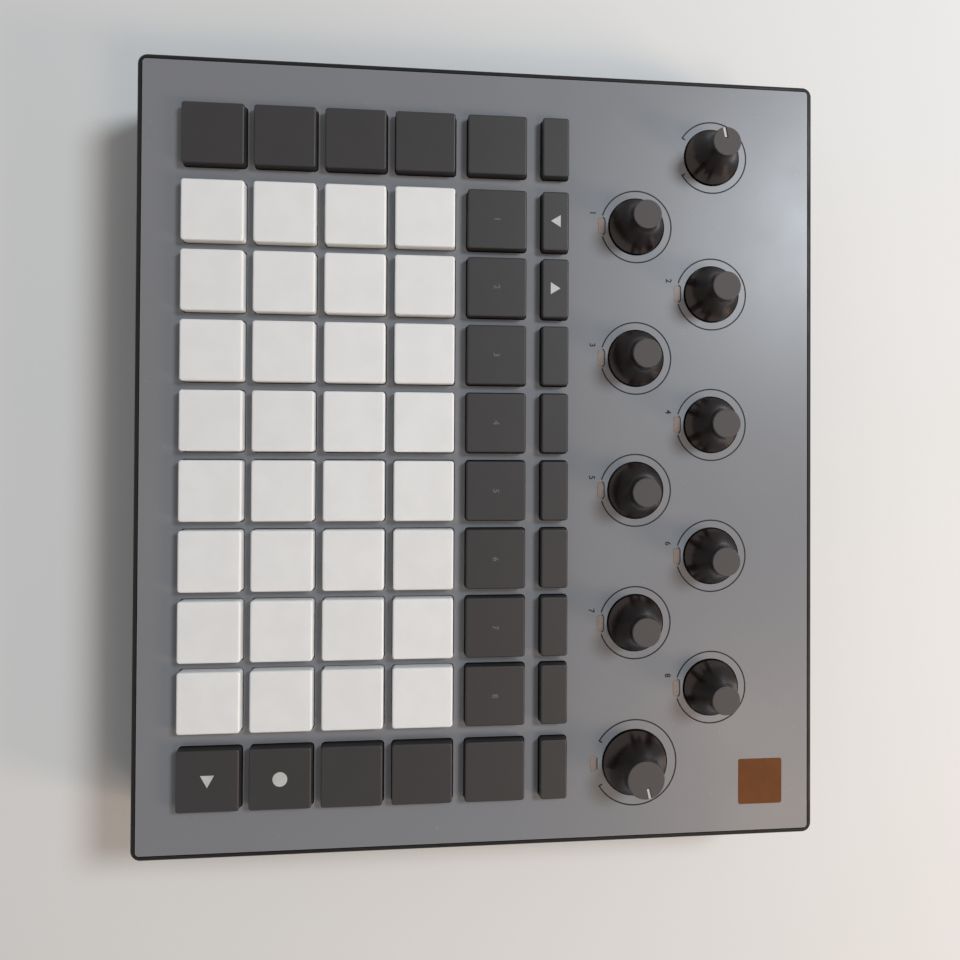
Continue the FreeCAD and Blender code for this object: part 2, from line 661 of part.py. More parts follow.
def model_top_case(keys, lights):
    """Model the top shell: rim, deck with its openings, screw posts and board posts."""
    outer = slab("top_outer", "case_length", "case_width", "top_height", "case_corner", z="seam")
    outer = soften("Part::Fillet", "top_rounded", outer, "ZMax", size("rim_round"))
    outer = soften("Part::Chamfer", "top_parting", outer, "ZMin", size("seam_chamfer"))
    cavity = slab("top_cavity", "inner_length", "inner_width",
                  "top_height - panel_thickness - deck_thickness + overcut", "inner_corner",
                  z="seam - overcut")
    recess = slab("panel_recess", "panel_length + 2 * panel_gap", "panel_width + 2 * panel_gap",
                  "panel_thickness + overcut", "panel_corner + panel_gap", z="deck_top")
    shell = cut("top_shell", outer, [cavity, recess])
    posts = [cylinder(f"top_post_{n}", "post_radius", "deck_under - seam + weld", x, y, "seam")
             for n, (x, y) in enumerate(post_places())]
    studs = [cylinder(f"board_stud_{n}", "stud_radius", "board_drop + weld", x, y, "board_top")
             for n, (x, y) in enumerate(board_stud_places())]
    pilots = [cylinder(f"post_pilot_{n}", "screw_radius + screw_gap",
                       "screw_bite + screw_tip_gap + overcut", x, y, "seam - overcut")
              for n, (x, y) in enumerate(post_places())]
    pilots += [cylinder(f"stud_pilot_{n}", "board_screw_radius + screw_gap",
                        "board_screw_bite + screw_tip_gap + overcut", x, y, "board_top - overcut")
               for n, (x, y) in enumerate(board_stud_places())]
    bushings = [cylinder(f"bushing_hole_{column}", "bushing_radius + bushing_gap",
                         "deck_thickness + 2 * overcut", column_x(column), y, "deck_under - overcut")
                for label, column, y in knob_places()]
    whole = join("top_whole", [shell] + posts + studs)
    sub_part("top_case", cut("top_case_cut", whole, [keys, lights] + pilots + bushings))


def model_faceplate(keys, lights):
    """Model the printed panel plate with its key openings, knob holes and light slots."""
    plate = slab("plate", "panel_length", "panel_width", "panel_thickness", "panel_corner", z="deck_top")
    holes = []
    for label, column, y in knob_places():
        foot = "filter_radius" if label == "filter_knob" else "knob_radius"
        holes.append(cylinder(f"{label}_hole", f"{foot} + knob_hole_gap", "panel_thickness + 2 * overcut",
                              column_x(column), y, "deck_top - overcut"))
    sub_part("faceplate", cut("faceplate_cut", plate, [keys, lights] + holes))


def rear_wall_cuts():
    """Cut solids for the sockets and the power button, through the rear wall."""
    start, through = "rear_wall - overcut", "wall + 2 * overcut"
    cuts = [rear_cylinder(f"jack_hole_{n}", "jack_collar + jack_hole_gap", through, x, start,
                          "main_board_top + jack_height / 2")
            for n, x in enumerate(large_jack_places())]
    cuts += [rear_cylinder(f"small_jack_hole_{n}", "small_jack_collar + jack_hole_gap", through, x,
                           start, "main_board_top + small_jack_height / 2")
             for n, x in enumerate(small_jack_places())]
    cuts.append(rear_cylinder("button_hole", "button_radius + button_gap", through, "button_place",
                              start, "button_level"))
    middle = "rear_wall + wall / 2"
    cuts.append(box("usb_slot", "usb_width + 2 * port_gap", through, "usb_height + 2 * port_gap",
                    "usb_place", middle, "main_board_top - port_gap"))
    cuts.append(box("card_slot", "card_slot_width + 2 * port_gap", through,
                    "card_slot_height + 2 * port_gap", "card_place", middle,
                    "main_board_top + card_height / 2 - card_slot_height / 2 - port_gap"))
    return cuts


def model_bottom_case():
    """Model the bottom shell: floor, walls, screw posts, board posts and battery ribs."""
    outer = slab("base_outer", "case_length", "case_width", "bottom_height", "case_corner",
                 z="foot_height")
    outer = soften("Part::Chamfer", "base_bevelled", outer, "ZMin", size("base_chamfer"))
    outer = soften("Part::Chamfer", "base_parting", outer, "ZMax", size("seam_chamfer"))
    cavity = slab("base_cavity", "inner_length", "inner_width", "bottom_height - base_floor + overcut",
                  "inner_corner", z="case_floor")
    posts = [cylinder(f"base_post_{n}", "post_radius", "seam - case_floor + weld", x, y,
                      "case_floor - weld") for n, (x, y) in enumerate(post_places())]
    studs = [cylinder(f"main_stud_{n}", "stud_radius", "main_board_lift + weld", x, y,
                      "case_floor - weld") for n, (x, y) in enumerate(main_stud_places())]
    fence_outer = slab("fence_outer", "battery_length + 2 * (rib_gap + rib_thickness)",
                       "battery_depth + 2 * (rib_gap + rib_thickness)", "rib_height + weld",
                       "battery_corner + rib_gap + rib_thickness", "0", "battery_place", "case_floor - weld")
    fence_inner = slab("fence_inner", "battery_length + 2 * rib_gap", "battery_depth + 2 * rib_gap",
                       "rib_height + weld + 2 * overcut", "battery_corner + rib_gap", "0",
                       "battery_place", "case_floor - weld - overcut")
    fence = cut("battery_fence", fence_outer, [fence_inner])
    recesses = [cylinder(f"foot_recess_{n}", "foot_radius + foot_recess_gap", "foot_recess + overcut",
                         x, y, "foot_height - overcut")
                for n, (x, y) in enumerate(corners_of("case_length / 2 - foot_inset",
                                                      "case_width / 2 - foot_inset - post_inset"))]
    sinks = [cylinder(f"head_sink_{n}", "screw_head_radius + screw_free_gap", "screw_sink + overcut",
                      x, y, "foot_height - overcut") for n, (x, y) in enumerate(post_places())]
    bores = [cylinder(f"screw_bore_{n}", "screw_radius + screw_free_gap", "bottom_height + overcut",
                      x, y, "foot_height") for n, (x, y) in enumerate(post_places())]
    pilots = [cylinder(f"main_pilot_{n}", "board_screw_radius + screw_gap",
                       "board_screw_bite + screw_tip_gap - weld + overcut", x, y,
                       "main_board_under - board_screw_bite - screw_tip_gap + weld")
              for n, (x, y) in enumerate(main_stud_places())]
    shell = cut("base_shell", outer, [cavity])
    whole = join("base_whole", [shell, fence] + posts + studs)
    sub_part("bottom_case", cut("bottom_case_cut", whole,
                                recesses + sinks + bores + pilots + rear_wall_cuts()))


def model_feet():
    """Model the four rubber feet, let into the bottom shell."""
    form = cylinder("foot_blank", "foot_radius", "foot_height + foot_recess")
    form = soften("Part::Fillet", "foot_form", form, "ZMin", size("foot_edge"))
    places = corners_of("case_length / 2 - foot_inset", "case_width / 2 - foot_inset - post_inset")
    sub_part("rubber_feet", group("foot_set", [copy_at(f"foot_{n}", form, x, y)
                                               for n, (x, y) in enumerate(places)]))


def screw_form(name, head_radius, head_height, radius, length):
    """Model a screw that points up, with the underside of its head's rim at the origin."""
    head = cylinder(f"{name}_head", head_radius, head_height, z=f"-({head_height})")
    shank = cylinder(f"{name}_shank", radius, f"{length} + weld", z="-weld")
    return join(name, [head, shank])


def model_screws():
    """Model the case screws from below, and the screws of both circuit boards."""
    case_screw = screw_form("case_screw", "screw_head_radius", "screw_head_height", "screw_radius",
                            "bottom_height - screw_sink + screw_bite")
    board_screw = screw_form("board_screw", "board_screw_head_radius", "board_screw_head_height",
                             "board_screw_radius", "board_thickness + board_screw_bite - weld")
    screws = [copy_at(f"case_screw_{n}", case_screw, x, y, "screw_seat")
              for n, (x, y) in enumerate(post_places())]
    screws += [copy_at(f"key_board_screw_{n}", board_screw, x, y, "board_under")
               for n, (x, y) in enumerate(board_stud_places())]
    for n, (x, y) in enumerate(main_stud_places()):
        screw = copy_at(f"main_board_screw_{n}", board_screw, x, y, "main_board_top")
        screw.Placement = Placement(screw.Placement.Base, Rotation(Vector(1, 0, 0), 180))
        screws.append(screw)
    sub_part("screws", group("screw_set", screws))


def model_key_board():
    """Model the key board with a contact under each key and a lamp under each window."""
    board = slab("key_board_sheet", "inner_length - 2 * board_edge_gap",
                 "inner_width - 2 * board_edge_gap", "board_thickness", "inner_corner", z="board_under")
    squares = [(column, row_y(row)) for row in range(PAD_ROWS) for column in range(1, PAD_COLUMNS + 1)]
    squares += square_key_places() + [(column, "function_row") for column in range(10)]
    raised = [box(f"contact_{n}", "contact_side", "contact_side", "contact_height + weld",
                  column_x(column), y, "board_top - weld") for n, (column, y) in enumerate(squares)]
    raised += [box(f"lamp_{n}", "lamp_side", "lamp_side", "lamp_height + weld", x, y, "board_top - weld")
               for n, (x, y) in enumerate(light_places())]
    through = "board_thickness + 2 * overcut"
    holes = [cylinder(f"board_post_hole_{n}", "post_radius + post_board_gap", through, x, y,
                      "board_under - overcut") for n, (x, y) in enumerate(post_places())]
    holes += [cylinder(f"board_screw_hole_{n}", "board_screw_radius + screw_free_gap", through, x, y,
                       "board_under - overcut") for n, (x, y) in enumerate(board_stud_places())]
    whole = join("key_board_whole", [board] + raised)
    sub_part("key_board", cut("key_board_cut", whole, holes))


def model_main_board():
    """Model the main board with its processor, its link to the key board and the power switch."""
    board = slab("main_board_sheet", "main_board_length", "main_board_depth", "board_thickness",
                 "inner_corner", "0", "main_board_middle", "main_board_under")
    on_board = "main_board_top - weld"
    chip = box("processor", "chip_side", "chip_side", "chip_height + weld", "-chip_place",
               "main_board_middle", on_board)
    link = box("board_link", "link_length", "link_depth",
               "board_under - (main_board_top) - link_gap + weld", "link_place",
               "main_board_middle - main_board_depth / 2 + link_offset", on_board)
    switch = box("power_switch", "switch_side", "switch_side", "switch_side + weld", "button_place",
                 "switch_face - switch_side / 2", on_board)
    holes = [cylinder(f"main_board_hole_{n}", "board_screw_radius + screw_free_gap",
                      "board_thickness + 2 * overcut", x, y, "main_board_under - overcut")
             for n, (x, y) in enumerate(main_stud_places())]
    sub_part("main_board", cut("main_board_cut", join("main_board_whole", [board, chip, link, switch]),
                               holes))


def jack_form(name, prefix):
    """Model a socket that opens to the rear, with its axis on y = 0 at the rear wall's inside."""
    block = box(f"{name}_block", f"{prefix}_width", f"{prefix}_length", f"{prefix}_height",
                "0", f"-{prefix}_length / 2", f"-{prefix}_height / 2")
    collar = rear_cylinder(f"{name}_collar", f"{prefix}_collar", "wall + weld", "0", "-weld", "0")
    bore = rear_cylinder(f"{name}_bore", f"{prefix}_bore", f"{prefix}_depth + overcut", "0",
                         f"wall - {prefix}_depth", "0")
    return cut(name, join(f"{name}_body", [block, collar]), [bore])


def model_jack_sockets():
    """Model the nine audio, sync and note sockets along the rear wall."""
    large = jack_form("large_jack", "jack")
    small = jack_form("small_jack", "small_jack")
    sockets = [copy_at(f"large_jack_{n}", large, x, "rear_wall", "main_board_top + jack_height / 2")
               for n, x in enumerate(large_jack_places())]
    sockets += [copy_at(f"small_jack_{n}", small, x, "rear_wall", "main_board_top + small_jack_height / 2")
                for n, x in enumerate(small_jack_places())]
    sub_part("jack_sockets", group("jack_set", sockets))


def model_data_sockets():
    """Model the USB-C socket and the card socket on the main board's rear edge."""
    rear = "rear_wall + wall"
    shell = box("usb_shell_block", "usb_width", "usb_depth", "usb_height", "usb_place",
                f"{rear} - usb_depth / 2", "main_board_top")
    hollow = box("usb_hollow", "usb_width - 2 * usb_shell", "usb_depth", "usb_height - 2 * usb_shell",
                 "usb_place", f"{rear} - usb_depth / 2 + overcut", "main_board_top + usb_shell")
    tongue = box("usb_tongue_plate", "usb_width - 2 * usb_tongue_inset", "usb_depth - 2 * overcut", "usb_tongue",
                 "usb_place", f"{rear} - usb_depth / 2",
                 "main_board_top + usb_height / 2 - usb_tongue / 2")
    usb = join("usb_socket", [cut("usb_case", shell, [hollow]), tongue])
    block = box("card_block", "card_width", "card_depth", "card_height", "card_place",
                "rear_wall - card_depth / 2", "main_board_top")
    slot = box("card_gap", "card_slot_width", "card_depth", "card_slot_height", "card_place",
               "rear_wall - card_depth / 2 + overcut",
               "main_board_top + card_height / 2 - card_slot_height / 2")
    sub_part("data_sockets", group("data_set", [usb, cut("card_socket", block, [slot])]))


def model_power_button():
    """Model the power button, flush with the rear wall and kept by a flange inside it."""
    stem = rear_cylinder("button_stem", "button_radius", "button_length", "button_place",
                         "case_width / 2 - button_length", "button_level")
    flange = rear_cylinder("button_rim", "button_radius + button_flange", "button_flange",
                           "button_place", "rear_wall - button_gap - button_flange", "button_level")
    sub_part("power_button", join("button_whole", [stem, flange]))


def model_encoders():
    """Model the bodies and bushings that carry the ten knob shafts."""
    block = box("encoder_block", "encoder_side", "encoder_side", "encoder_height")
    bushing = cylinder("encoder_bushing", "bushing_radius", "board_drop + deck_thickness")
    bore = cylinder("encoder_bore", "shaft_radius + shaft_clearance",
                    "board_drop + deck_thickness + overcut", z="encoder_floor")
    form = cut("encoder_form", join("encoder_whole", [block, bushing]), [bore])
    sub_part("encoder_bodies", group("encoder_set", [
        copy_at(f"encoder_{column}", form, column_x(column), y, "board_top")
        for label, column, y in knob_places()]))


def model_light_windows():
    """Model the nine clear windows that carry the lamps' light up to the panel."""
    foot = "lamp_height + light_board_gap"
    form = slab("light_form", "light_length", "light_width",
                f"board_drop + deck_thickness + panel_thickness - ({foot})", "light_corner")
    sub_part("light_windows", group("light_set", [
        copy_at(f"light_window_{n}", form, x, y, f"board_top + {foot}")
        for n, (x, y) in enumerate(light_places())]))


def model_battery():
    """Model the battery pack, lying on the floor between its ribs."""
    sub_part("battery_pack", slab("battery", "battery_length", "battery_depth", "battery_height",
                                  "battery_corner", "0", "battery_place", "case_floor"))


def model_knobs():
    """Place the ten knobs, the two marked ones turned as they stand."""
    forms = {"volume_knob": knob_form("volume_form", "knob_radius", "knob_cap_radius", True),
             "filter_knob": knob_form("filter_form", "filter_radius", "filter_cap_radius", True)}
    plain = knob_form("encoder_knob_form", "knob_radius", "knob_cap_radius", False)
    turns = {"volume_knob": "volume_turn", "filter_knob": "-filter_turn"}
    for label, column, y in knob_places():
        sub_part(label, copy_at(label, forms.get(label, plain), column_x(column), y, "shaft_tip",
                                turns.get(label)))


def model_keys():
    """Place the pads one by one, and the other keys in sets that share a node."""
    square = key_form("square_key_form", "pad_length", "pad_depth")
    narrow = key_form("narrow_key_form", "pad_length", "narrow_depth")
    for row in range(PAD_ROWS):
        for column in range(1, PAD_COLUMNS + 1):
            sub_part(f"pad_{row + 1}_{column}", copy_at(f"pad_{row + 1}_{column}", square,
                                                        column_x(column), row_y(row), "key_base"))
    sub_part("play_key", copy_at("play_key", square, column_x(9), row_y(0), "key_base"))
    sub_part("record_key", copy_at("record_key", square, column_x(9), row_y(1), "key_base"))
    side = [(0, row) for row in range(PAD_ROWS)] + [(9, 2), (9, 3)]
    sub_part("side_keys", group("side_key_set", [
        copy_at(f"side_key_{n}", square, column_x(column), row_y(row), "key_base")
        for n, (column, row) in enumerate(side)]))
    sub_part("track_keys", group("track_key_set", [
        copy_at(f"track_key_{column}", square, column_x(column), "track_row", "key_base")
        for column in range(10)]))
    sub_part("function_keys", group("function_key_set", [
        copy_at(f"function_key_{column}", narrow, column_x(column), "function_row", "key_base")
        for column in range(10)]))


def check_document():
    """Stop if any object failed, or if any sub-part has no sound shape."""
    doc.recompute()
    for item in doc.Objects:
        if "Invalid" in item.State or "Error" in item.State:
            raise RuntimeError(f"{item.Name} failed: {item.State}")
    for label, item in SUB_PARTS.items():
        if item.Shape.isNull() or not item.Shape.isValid():
            raise RuntimeError(f"{label} has no valid shape")


def write_parts():
    """Write each sub-part to its own file, and print how many solids it holds."""
    os.makedirs("parts", exist_ok=True)
    for label, item in SUB_PARTS.items():
        item.Shape.exportStep(f"parts/{label}.step")
        print(label, len(item.Shape.Solids), "solids", round(item.Shape.Volume), "cubic mm")


def main():
    """Model every sub-part, check them and write them out."""
    keys, lights = key_openings(), light_openings()
    model_bottom_case()
    model_feet()
    model_battery()
    model_main_board()
    model_jack_sockets()
    model_data_sockets()
    model_power_button()
    model_key_board()
    model_encoders()
    model_light_windows()
    model_top_case(keys, lights)
    model_faceplate(keys, lights)
    model_screws()
    model_keys()
    model_knobs()
    check_document()
    write_parts()


main()
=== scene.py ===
"""Dressed model of a desktop drum machine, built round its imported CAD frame.

Lengths are in metres, in the frame's own axes: X to the machine's right, Y to its rear, Z up.
The CAD nodes keep their shapes and get procedural finishes. Rings, numbers, symbols and pointer
lines are thin raised prints, each of which rides on the part that it marks.
"""

import logging
import math
from dataclasses import dataclass
from enum import Enum

import bmesh
import bpy
from mathutils import Matrix, Vector


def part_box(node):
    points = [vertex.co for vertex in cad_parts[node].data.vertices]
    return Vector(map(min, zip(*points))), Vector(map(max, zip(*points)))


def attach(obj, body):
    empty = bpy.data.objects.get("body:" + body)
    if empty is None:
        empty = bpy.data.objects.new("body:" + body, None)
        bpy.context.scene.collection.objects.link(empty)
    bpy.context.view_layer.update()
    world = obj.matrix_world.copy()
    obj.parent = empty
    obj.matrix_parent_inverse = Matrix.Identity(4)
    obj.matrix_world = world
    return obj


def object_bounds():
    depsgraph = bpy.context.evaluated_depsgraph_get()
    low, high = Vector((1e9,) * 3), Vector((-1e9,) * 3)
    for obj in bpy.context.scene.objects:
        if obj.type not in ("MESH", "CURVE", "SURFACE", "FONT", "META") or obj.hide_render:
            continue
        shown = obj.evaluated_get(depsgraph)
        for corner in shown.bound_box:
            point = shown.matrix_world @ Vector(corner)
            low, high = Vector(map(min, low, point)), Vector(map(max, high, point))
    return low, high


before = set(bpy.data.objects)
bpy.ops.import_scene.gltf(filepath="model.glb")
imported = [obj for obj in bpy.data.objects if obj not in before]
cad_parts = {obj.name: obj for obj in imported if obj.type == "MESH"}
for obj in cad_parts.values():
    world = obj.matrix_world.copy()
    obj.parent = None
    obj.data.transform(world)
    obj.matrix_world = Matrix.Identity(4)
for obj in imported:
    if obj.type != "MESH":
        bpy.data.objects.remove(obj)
CAD_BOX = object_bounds()

LOG = logging.getLogger("drum_machine")
MM = 0.001
COLUMNS = 8
PAD_ROWS = 4
ENCODERS = 8
QUARTER_TURN = 90.0

Colour = tuple[float, float, float]
Point = tuple[float, float]
Socket = bpy.types.NodeSocket

BACKDROP: Colour = (0.82, 0.82, 0.81)
WHOLE: Point = (0.0, 1.0)
NOISE_SPAN: Point = (0.3, 0.7)
EDGE_TURN: Point = (0.86, 0.995)


class Slot(Enum):
    """The record's material slots, by name; no piece here takes its finish from them."""

    PANEL = "panel"
    KEY = "key"
    KNOB = "knob"


class Facing(Enum):
    """The way that a triangle symbol points, as an angle from the machine's right."""

    RIGHT = 0.0
    REAR = 90.0
    FRONT = -90.0


class MaterialTree:
    """A principled material and the short calls that wire its nodes."""

    def __init__(self, name: str) -> None:
        """Start the material.

        Args:
            name: what the finish is called.
        """
        self.material = bpy.data.materials.new(name)
        self.material.use_nodes = True
        self.nodes = self.material.node_tree.nodes
        self.links = self.material.node_tree.links
        self.shader = self.nodes["Principled BSDF"]
        self.place = self.nodes.new("ShaderNodeTexCoord").outputs["Object"]

    def noise(self, size: float, detail: float = 2.0) -> Socket:
        """Make noise in object space.

        Args:
            size: the width of its features, in metres.
            detail: how many finer layers it carries.

        Returns:
            The noise as a value about one half.
        """
        node = self.nodes.new("ShaderNodeTexNoise")
        node.inputs["Scale"].default_value = 1.0 / size
        node.inputs["Detail"].default_value = detail
        self.links.new(self.place, node.inputs["Vector"])
        return node.outputs["Fac"]

    def spread(self, value: Socket, source: Point, target: Point) -> Socket:
        """Map a value's range smoothly onto another, held at both ends.

        Args:
            value: the value to map.
            source: its low and high ends.
            target: what those ends become.

        Returns:
            The mapped value.
        """
        node = self.nodes.new("ShaderNodeMapRange")
        node.interpolation_type = "SMOOTHSTEP"
        self.links.new(value, node.inputs["Value"])
        labels = ("From Min", "From Max", "To Min", "To Max")
        for label, number in zip(labels, source + target):
            node.inputs[label].default_value = number
        return node.outputs["Result"]

    def blend(self, share: Socket, first: Colour | Socket, second: Colour | Socket) -> Socket:
        """Mix two colours.

        Args:
            share: how much of the second colour there is.
            first: a colour or the socket of one.
            second: a colour or the socket of one.

        Returns:
            The mixed colour.
        """
        node = self.nodes.new("ShaderNodeMix")
        node.data_type = "RGBA"
        ends = [socket for socket in node.inputs if socket.type == "RGBA"]
        self.links.new(share, node.inputs["Factor"])
        for socket, colour in zip(ends, (first, second)):
            if isinstance(colour, bpy.types.NodeSocket):
                self.links.new(colour, socket)
            else:
                socket.default_value = (*colour, 1.0)
        return next(socket for socket in node.outputs if socket.type == "RGBA")

    def product(self, first: Socket, second: Socket) -> Socket:
        """Multiply two values.

        Args:
            first: one value.
            second: the other value.

        Returns:
            Their product.
        """
        node = self.nodes.new("ShaderNodeMath")
        node.operation = "MULTIPLY"
        self.links.new(first, node.inputs[0])
        self.links.new(second, node.inputs[1])
        return node.outputs["Value"]

    def edges(self, reach: float) -> Socket:
        """Find the edges of the form.

        Args:
            reach: how far from an edge the mask goes, in metres.

        Returns:
            A mask that is 1 on edges and 0 on flat faces.
        """
        bevel = self.nodes.new("ShaderNodeBevel")
        bevel.samples = 4
        bevel.inputs["Radius"].default_value = reach
        face = self.nodes.new("ShaderNodeNewGeometry")
        turn = self.nodes.new("ShaderNodeVectorMath")
        turn.operation = "DOT_PRODUCT"
        self.links.new(bevel.outputs["Normal"], turn.inputs[0])
        self.links.new(face.outputs["Normal"], turn.inputs[1])
        return self.spread(turn.outputs["Value"], EDGE_TURN, (1.0, 0.0))

    def height(self, low: float, high: float) -> Socket:
        """Mask by height in the frame: 0 at low and 1 at high.

        Args:
            low: the level where the mask starts.
            high: the level from where it is whole.

        Returns:
            The mask.
        """
        split = self.nodes.new("ShaderNodeSeparateXYZ")
        self.links.new(self.place, split.inputs["Vector"])
        return self.spread(split.outputs["Z"], (low, high), WHOLE)

    def relief(self, layers: list[tuple[Socket, float]]) -> None:
        """Raise the surface by one or more heights.

        Args:
            layers: a height value and its depth in metres, for each layer.
        """
        normal = None
        for value, depth in layers:
            bump = self.nodes.new("ShaderNodeBump")
            bump.inputs["Distance"].default_value = depth
            self.links.new(value, bump.inputs["Height"])
            if normal:
                self.links.new(normal, bump.inputs["Normal"])
            normal = bump.outputs["Normal"]
        self.links.new(normal, self.shader.inputs["Normal"])

    def put(self, socket: str, value: Socket) -> None:
        """Drive a socket of the shader with a value that varies over the surface."""
        self.links.new(value, self.shader.inputs[socket])

    def fix(self, **constants: float) -> None:
        """Set constants on the shader's own sockets; an underscore stands for a space."""
        for label, number in constants.items():
            self.shader.inputs[label.replace("_", " ")].default_value = number


def seen_rays(tree: bpy.types.NodeTree) -> Socket:
    """Mask the rays that show the background.

    Args:
        tree: the node tree that the mask goes in.

    Returns:
        1 for camera, glossy and transmission rays and 0 for the others.
    """
    rays = tree.nodes.new("ShaderNodeLightPath")
    mask = rays.outputs["Is Camera Ray"]
    for kind in ("Is Glossy Ray", "Is Transmission Ray"):
        larger = tree.nodes.new("ShaderNodeMath")
        larger.operation = "MAXIMUM"
        tree.links.new(mask, larger.inputs[0])
        tree.links.new(rays.outputs[kind], larger.inputs[1])
        mask = larger.outputs["Value"]
    return mask


def shade(colour: Colour, share: float) -> Colour:
    """Darken or lighten a colour by a share of itself."""
    return tuple(part * share for part in colour)


@dataclass(frozen=True)
class Finish:
    """A moulded or painted finish: fine grain, slow drift of tone and gloss, and worn edges."""

    name: str
    colour: Colour
    roughness: float
    drift: float = 0.10
    drift_size: float = 30 * MM
    gloss_drift: float = 0.06
    grain_size: float = 0.35 * MM
    grain_depth: float = 0.02 * MM
    worn: Colour = (0.30, 0.30, 0.30)
    wear: float = 0.0
    edge: float = 0.4 * MM
    metallic: float = 0.0
    specular: float = 0.5
    dust: float = 0.0
    dust_size: float = 1.1 * MM
    dust_span: Point = (0.72, 0.80)
    patch_size: float = 2.5 * MM
    patch_span: Point = (0.35, 0.65)
    least_wear: float = 0.3
    gloss_share: float = 0.4

    def base(self, tree: MaterialTree) -> Socket:
        """Paint the colour before dust and wear.

        Args:
            tree: the material under way.

        Returns:
            The colour with its drift of tone.
        """
        drift = tree.spread(tree.noise(self.drift_size, 3.0), NOISE_SPAN, WHOLE)
        darker, lighter = shade(self.colour, 1 - self.drift), shade(self.colour, 1 + self.drift)
        return tree.blend(drift, darker, lighter)

    def aged(self, tree: MaterialTree, colour: Socket) -> Socket:
        """Add dust specks and worn edges.

        Args:
            tree: the material under way.
            colour: the clean colour.

        Returns:
            The colour as it looks after some use.
        """
        if self.dust:
            specks = tree.spread(tree.noise(self.dust_size, 1.0), self.dust_span, (0.0, self.dust))
            colour = tree.blend(specks, colour, self.worn)
        if self.wear:
            amount = (self.least_wear * self.wear, self.wear)
            patchy = tree.spread(tree.noise(self.patch_size, 3.0), self.patch_span, amount)
            colour = tree.blend(tree.product(tree.edges(self.edge), patchy), colour, self.worn)
        return colour

    def finish(self, tree: MaterialTree) -> None:
        """Set what is special to a kind of finish; the plain one has nothing more."""

    def material(self) -> bpy.types.Material:
        """Give the finish's material, built on first use.

        Returns:
            The material.
        """
        ready = bpy.data.materials.get(self.name)
        if ready:
            return ready
        tree = MaterialTree(self.name)
        tree.put("Base Color", self.aged(tree, self.base(tree)))
        rough = (self.roughness - self.gloss_drift, self.roughness + self.gloss_drift)
        gloss = tree.noise(self.gloss_share * self.drift_size, 3.0)
        tree.put("Roughness", tree.spread(gloss, NOISE_SPAN, rough))
        tree.relief([(tree.noise(self.grain_size, 2.0), self.grain_depth)])
        tree.fix(Metallic=self.metallic, Specular_IOR_Level=self.specular)
        self.finish(tree)
        return tree.material


@dataclass(frozen=True)
class PanelPaint(Finish):
    """Satin paint on the panel plate: fine spray mottle and a soft second layer of relief."""

    orange_peel: float = 2.2 * MM
    peel_depth: float = 0.004 * MM

    def finish(self, tree: MaterialTree) -> None:
        """Add the spray's soft waviness under the grain.

        Args:
            tree: the material under way.
        """
        tree.relief([
            (tree.noise(self.orange_peel, 1.0), self.peel_depth),
            (tree.noise(self.grain_size, 2.0), self.grain_depth),
        ])


@dataclass(frozen=True)
class PadRubber(Finish):
    """Milky silicone of the pads: light travels inside it, and each pad has its own tone."""

    scatter: float = 1.6 * MM
    scatter_weight: float = 0.35
    scatter_reach: Colour = (1.0, 0.9, 0.8)
    own_share: float = 0.16
    own_shade: float = 0.86

    def base(self, tree: MaterialTree) -> Socket:
        """Paint the colour with a small step of tone from pad to pad.

        Args:
            tree: the material under way.

        Returns:
            The colour of the pad.
        """
        own = tree.nodes.new("ShaderNodeObjectInfo").outputs["Random"]
        share = tree.spread(own, WHOLE, (0.0, self.own_share))
        return tree.blend(share, super().base(tree), shade(self.colour, self.own_shade))

    def finish(self, tree: MaterialTree) -> None:
        """Let light through the rubber."""
        tree.fix(Subsurface_Weight=self.scatter_weight, Subsurface_Scale=self.scatter)
        tree.shader.inputs["Subsurface Radius"].default_value = self.scatter_reach


@dataclass(frozen=True)
class KnobRubber(Finish):
    """Knob plastic: glossy flanks under a flat matt top. The top is painted a lighter grey as
    painted light, and the flanks darker as painted shade.
    """

    # Painted light: the top takes a lighter copy of the flank colour, where it faces the lamps.
    top_colour: Colour = (0.060, 0.059, 0.060)
    top_level: float = 45 * MM
    top_start: float = 0.25 * MM
    top_end: float = 0.075 * MM
    top_roughness: float = 0.72
    flank_tint: Colour = (1.0, 0.84, 0.78)

    def top(self, tree: MaterialTree) -> Socket:
        """Mask the flat top."""
        return tree.height(self.top_level - self.top_start, self.top_level - self.top_end)

    def base(self, tree: MaterialTree) -> Socket:
        """Paint the flanks dark as painted shade and the top a lighter grey as painted light."""
        return tree.blend(self.top(tree), super().base(tree), self.top_colour)

    def finish(self, tree: MaterialTree) -> None:
        """Make the top matt and the flanks glossy.

        Args:
            tree: the material under way.
        """
        rough = (self.roughness, self.top_roughness)
        tree.put("Roughness", tree.spread(self.top(tree), WHOLE, rough))
        tree.shader.inputs["Specular Tint"].default_value = (*self.flank_tint, 1.0)


@dataclass(frozen=True)
class ClearLens(Finish):
    """Diffusing clear plastic of the light windows."""

    scatter: float = 0.8 * MM
    scatter_weight: float = 0.6
    coat: float = 0.4

    def finish(self, tree: MaterialTree) -> None:
        """Let light into the lens."""
        tree.fix(Subsurface_Weight=self.scatter_weight, Subsurface_Scale=self.scatter)
        tree.fix(Coat_Weight=self.coat)


@dataclass(frozen=True)
class BrushedMetal(Finish):
    """Plated metal with tarnish in patches."""

    tarnish: float = 0.5
    tarnish_size: float = 3 * MM
    tarnish_span: Point = (0.45, 0.75)
    tarnish_shade: float = 0.55

    def base(self, tree: MaterialTree) -> Socket:
        """Paint the plating with darker tarnish in patches.

        Args:
            tree: the material under way.

        Returns:
            The colour of the plating.
        """
        patches = tree.noise(self.tarnish_size, 4.0)
        share = tree.spread(patches, self.tarnish_span, (0.0, self.tarnish))
        return tree.blend(share, super().base(tree), shade(self.colour, self.tarnish_shade))


